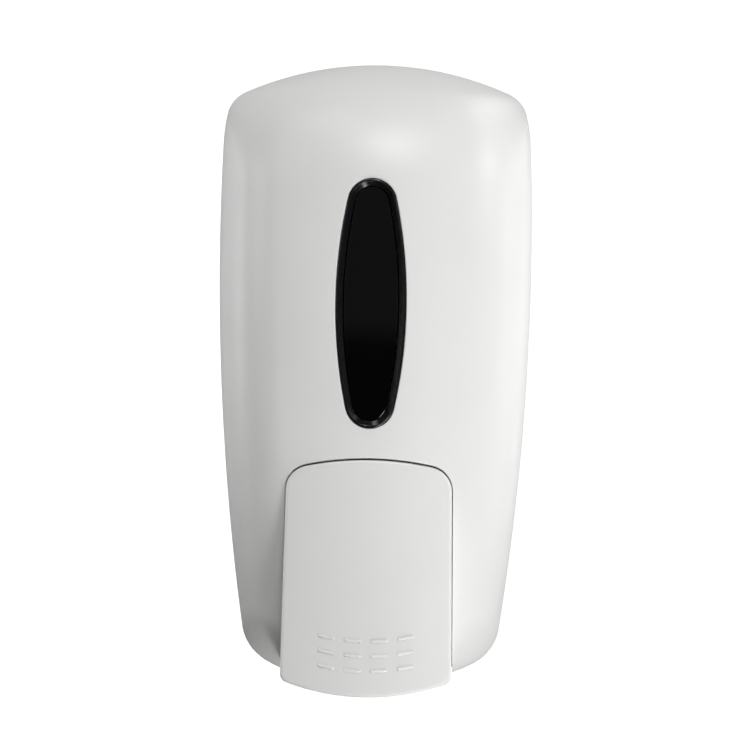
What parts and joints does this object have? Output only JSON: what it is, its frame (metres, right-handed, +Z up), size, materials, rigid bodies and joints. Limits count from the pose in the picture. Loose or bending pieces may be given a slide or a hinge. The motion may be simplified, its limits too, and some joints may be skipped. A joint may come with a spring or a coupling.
{
  "type": "wall mounted soap dispenser",
  "caption": "Wall mounted soap dispenser: domed cover with a dark sight window, flared push lever, refill bottle and piston pump, hinged to a back plate with a lock on top.",
  "frame": {"origin": "centre line of the back plate's rear face, 125 mm below the top of the cover", "axes": "+Y out of the back plate's rear face into the wall, -Y to the user, +Z up, +X to the right as the user faces it"},
  "size_m": [0.125, 0.112, 0.2458],
  "materials": {
    "back_plate": "satin moulded white",
    "hinge_pin_left": "turned steel",
    "hinge_pin_right": "turned steel",
    "lock_keeper": "bent steel strip",
    "soap_bottle": "translucent blown plastic",
    "collar_nut": "moulded grey, vertical grips",
    "collar_gasket": "soft silicone",
    "pump_body": "natural nylon",
    "inlet_valve": "soft silicone",
    "duckbill_valve": "soft silicone",
    "nozzle_tip": "moulded grey",
    "piston_stem": "natural nylon",
    "piston_seal": "black seal ring",
    "piston_cap": "natural nylon",
    "pump_spring": "spring wire",
    "filler_cap": "moulded blue",
    "filler_gasket": "black gasket",
    "front_cover": "satin moulded white",
    "window_bezel": "polished black",
    "window_lens": "polished smoke tint",
    "lever_pin_left": "turned steel",
    "lever_pin_right": "turned steel",
    "lock_housing": "moulded light grey",
    "push_lever": "satin moulded white",
    "push_pad": "moulded grey",
    "lock_barrel": "brushed steel face",
    "lock_cam": "pressed steel",
    "cam_screw": "steel screw"
  },
  "bodies": {
    "wall_unit": {"back_plate": "back_plate", "hinge_pin_left": "hinge_pin_left", "hinge_pin_right": "hinge_pin_right", "lock_keeper": "lock_keeper", "soap_bottle": "soap_bottle", "collar_nut": "collar_nut", "collar_gasket": "collar_gasket", "pump_body": "pump_body", "inlet_valve": "inlet_valve", "duckbill_valve": "duckbill_valve", "nozzle_tip": "nozzle_tip"},
    "piston": {"piston_stem": "piston_stem", "piston_seal": "piston_seal", "piston_cap": "piston_cap", "pump_spring": "pump_spring"},
    "filler": {"filler_cap": "filler_cap", "filler_gasket": "filler_gasket"},
    "cover": {"front_cover": "front_cover", "window_bezel": "window_bezel", "window_lens": "window_lens", "lever_pin_left": "lever_pin_left", "lever_pin_right": "lever_pin_right", "lock_housing": "lock_housing"},
    "lever": {"push_lever": "push_lever", "push_pad": "push_pad"},
    "lock": {"lock_barrel": "lock_barrel", "lock_cam": "lock_cam", "cam_screw": "cam_screw"}
  },
  "joints": [
    {"name": "cover_hinge", "type": "hinge", "parent": "wall_unit", "child": "cover", "pos_m": [0, -0.017, -0.111], "axis": [1, 0, 0], "range_deg": [0, 80]},
    {"name": "lever_hinge", "type": "hinge", "parent": "cover", "child": "lever", "pos_m": [0, -0.078, -0.0485], "axis": [1, 0, 0], "range_deg": [0, 12], "stiffness_Nm_per_rad": 0.6, "springref_deg": -8.59},
    {"name": "piston_slide", "type": "slide", "parent": "wall_unit", "child": "piston", "axis": [0, 1, 0], "range_m": [0, 0.0093], "stiffness_N_per_m": 200, "springref_m": -0.006, "deforming": ["pump_spring"]},
    {"name": "cap_lift", "type": "slide", "parent": "wall_unit", "child": "filler", "axis": [0, 0, 1], "range_m": [0, 0.012]},
    {"name": "lock_turn", "type": "hinge", "parent": "cover", "child": "lock", "pos_m": [0, -0.024, 0.1064], "axis": [0, 0, -1], "range_deg": [0, 90]}
  ],
  "couplings": [
    {"joint": "piston_slide", "follows": "lever_hinge", "m_per_rad": 0.0443}
  ]
}
